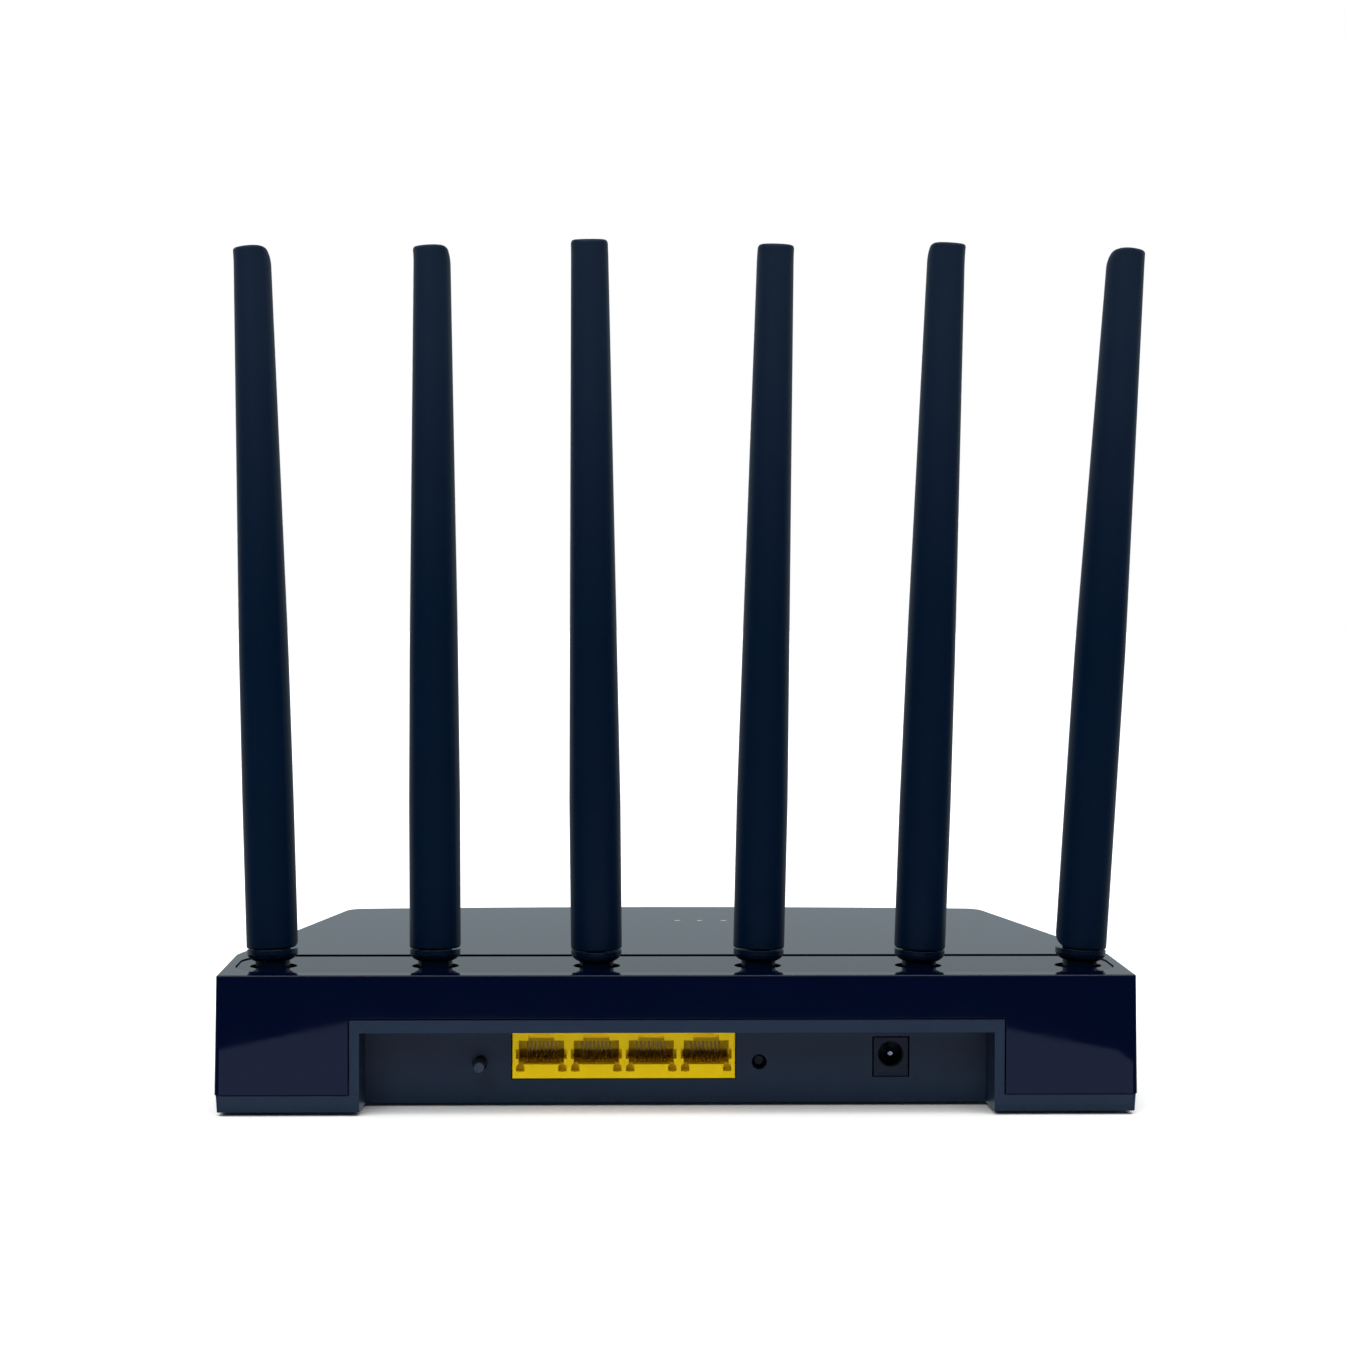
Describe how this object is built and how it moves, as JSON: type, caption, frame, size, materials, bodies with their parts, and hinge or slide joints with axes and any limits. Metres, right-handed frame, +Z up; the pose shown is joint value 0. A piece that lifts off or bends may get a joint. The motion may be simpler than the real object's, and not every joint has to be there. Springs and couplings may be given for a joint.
{
  "type": "wireless router",
  "caption": "Flat desktop wireless router with a row of hinged swivelling antennas along the rear edge, a recessed panel of network and power sockets, and a tapered front.",
  "frame": {"origin": "middle of the body's footprint between the rear face and the front edge, on the plane that the feet stand on", "axes": "+Z up, -Y towards the sockets, +Y towards the front edge with the lights, +X to the right as seen from the sockets' side"},
  "size_m": [0.2357, 0.146, 0.2195],
  "materials": {
    "gloss_cover": "high gloss, near-black navy",
    "gloss_strip": "high gloss, near-black navy, inset strip",
    "satin_shell": "fine satin texture, dark slate",
    "antenna_satin": "fine satin texture, dark navy",
    "steel": "zinc plated",
    "radiator_board": "glass-fibre strip with copper",
    "foot_rubber": "matte",
    "seat_nylon": "moulded nylon",
    "board_green": "solder mask",
    "chip_black": "moulded epoxy",
    "thermal_grey": "soft silicone",
    "aluminium": "extruded",
    "tin_can": "tin plated",
    "capacitor_sleeve": "shrink sleeve",
    "ferrite": "sintered",
    "lan_yellow": "moulded, semi gloss",
    "lan_olive": "moulded",
    "contact_gold": "gold plated",
    "jack_black": "moulded",
    "nickel": "nickel plated",
    "button_grey": "moulded, semi gloss",
    "reset_black": "moulded",
    "light_clear": "clear light pipe",
    "lamp_white": "lamp",
    "lead_black": "fluoropolymer jacket",
    "brass": "gold plated"
  },
  "bodies": {
    "root": {"antenna_retainers": "seat_nylon", "antenna_seats": "seat_nylon", "antenna_strip": "gloss_strip", "board_screws": "steel", "bottom_shell": "satin_shell", "capacitors": "capacitor_sleeve", "case_screws": "steel", "coax_leads": "lead_black", "coax_plugs": "brass", "coax_sockets": "brass", "crystal": "tin_can", "heat_sink": "aluminium", "inductors": "ferrite", "jack_body": "jack_black", "jack_pin": "nickel", "jack_spring": "nickel", "lan_carriers": "lan_olive", "lan_contacts": "contact_gold", "lan_housing": "lan_yellow", "light_chips": "lamp_white", "light_guide": "seat_nylon", "light_pipes": "light_clear", "magnetics": "chip_black", "main_board": "board_green", "memory_chips": "chip_black", "processor": "chip_black", "push_switch": "chip_black", "radio_cans": "tin_can", "radio_chips": "chip_black", "reset_switch": "chip_black", "retainer_screws": "steel", "rubber_feet": "foot_rubber", "thermal_pad": "thermal_grey", "top_cover": "gloss_cover"},
    "antenna_1_base": {"antenna_1_knuckle": "antenna_satin"},
    "antenna_1_arm": {"antenna_1_blade": "antenna_satin", "antenna_1_pin": "steel", "antenna_1_radiator": "radiator_board"},
    "antenna_2_base": {"antenna_2_knuckle": "antenna_satin"},
    "antenna_2_arm": {"antenna_2_blade": "antenna_satin", "antenna_2_pin": "steel", "antenna_2_radiator": "radiator_board"},
    "antenna_3_base": {"antenna_3_knuckle": "antenna_satin"},
    "antenna_3_arm": {"antenna_3_blade": "antenna_satin", "antenna_3_pin": "steel", "antenna_3_radiator": "radiator_board"},
    "antenna_4_base": {"antenna_4_knuckle": "antenna_satin"},
    "antenna_4_arm": {"antenna_4_blade": "antenna_satin", "antenna_4_pin": "steel", "antenna_4_radiator": "radiator_board"},
    "antenna_5_base": {"antenna_5_knuckle": "antenna_satin"},
    "antenna_5_arm": {"antenna_5_blade": "antenna_satin", "antenna_5_pin": "steel", "antenna_5_radiator": "radiator_board"},
    "antenna_6_base": {"antenna_6_knuckle": "antenna_satin"},
    "antenna_6_arm": {"antenna_6_blade": "antenna_satin", "antenna_6_pin": "steel", "antenna_6_radiator": "radiator_board"},
    "button": {"push_button": "button_grey"},
    "reset": {"reset_cap": "reset_black"}
  },
  "joints": [
    {"name": "antenna_1_swivel", "type": "hinge", "parent": "root", "child": "antenna_1_base", "pos_m": [-0.1029, -0.0529, 0.0283], "axis": [-0.0336, 0.0581, 0.9977], "range_deg": [-20, 100]},
    {"name": "antenna_1_fold", "type": "hinge", "parent": "antenna_1_base", "child": "antenna_1_arm", "pos_m": [-0.10353, -0.05181, 0.04696], "axis": [-0.7644, 0.6417, -0.0631], "range_deg": [0, 90]},
    {"name": "antenna_2_swivel", "type": "hinge", "parent": "root", "child": "antenna_2_base", "pos_m": [-0.0616, -0.0529, 0.0283], "axis": [-0.0071, 0.0462, 0.9989], "range_deg": [-28, 92]},
    {"name": "antenna_2_fold", "type": "hinge", "parent": "antenna_2_base", "child": "antenna_2_arm", "pos_m": [-0.06173, -0.05203, 0.04698], "axis": [-0.8479, 0.5294, -0.0306], "range_deg": [0, 90]},
    {"name": "antenna_3_swivel", "type": "hinge", "parent": "root", "child": "antenna_3_base", "pos_m": [-0.0203, -0.0529, 0.0283], "axis": [-0.0113, -0.0393, 0.9992], "range_deg": [-55, 65]},
    {"name": "antenna_3_fold", "type": "hinge", "parent": "antenna_3_base", "child": "antenna_3_arm", "pos_m": [-0.02051, -0.05363, 0.04698], "axis": [-0.9962, 0.0871, -0.0079], "range_deg": [0, 90]},
    {"name": "antenna_4_swivel", "type": "hinge", "parent": "root", "child": "antenna_4_base", "pos_m": [0.021, -0.0529, 0.0283], "axis": [0.0211, 0.0136, 0.9997], "range_deg": [-65, 55]},
    {"name": "antenna_4_fold", "type": "hinge", "parent": "antenna_4_base", "child": "antenna_4_arm", "pos_m": [0.0214, -0.05264, 0.04699], "axis": [-0.9959, -0.0871, 0.0222], "range_deg": [0, 90]},
    {"name": "antenna_5_swivel", "type": "hinge", "parent": "root", "child": "antenna_5_base", "pos_m": [0.0623, -0.0529, 0.0283], "axis": [0.03, -0.0206, 0.9993], "range_deg": [-88, 32]},
    {"name": "antenna_5_fold", "type": "hinge", "parent": "antenna_5_base", "child": "antenna_5_arm", "pos_m": [0.06286, -0.05328, 0.04699], "axis": [-0.8828, -0.4694, 0.0168], "range_deg": [0, 90]},
    {"name": "antenna_6_swivel", "type": "hinge", "parent": "root", "child": "antenna_6_base", "pos_m": [0.1036, -0.0529, 0.0283], "axis": [0.0617, 0.0222, 0.9978], "range_deg": [-118, 2]},
    {"name": "antenna_6_fold", "type": "hinge", "parent": "antenna_6_base", "child": "antenna_6_arm", "pos_m": [0.10475, -0.05249, 0.04696], "axis": [-0.5277, -0.8478, 0.0515], "range_deg": [0, 90]},
    {"name": "button_press", "type": "slide", "parent": "root", "child": "button", "axis": [0, 1, 0], "range_m": [0, 0.0008], "stiffness_N_per_m": 800, "springref_m": -0.0005},
    {"name": "reset_press", "type": "slide", "parent": "root", "child": "reset", "axis": [0, 1, 0], "range_m": [0, 0.0004], "stiffness_N_per_m": 1200, "springref_m": -0.0005}
  ]
}
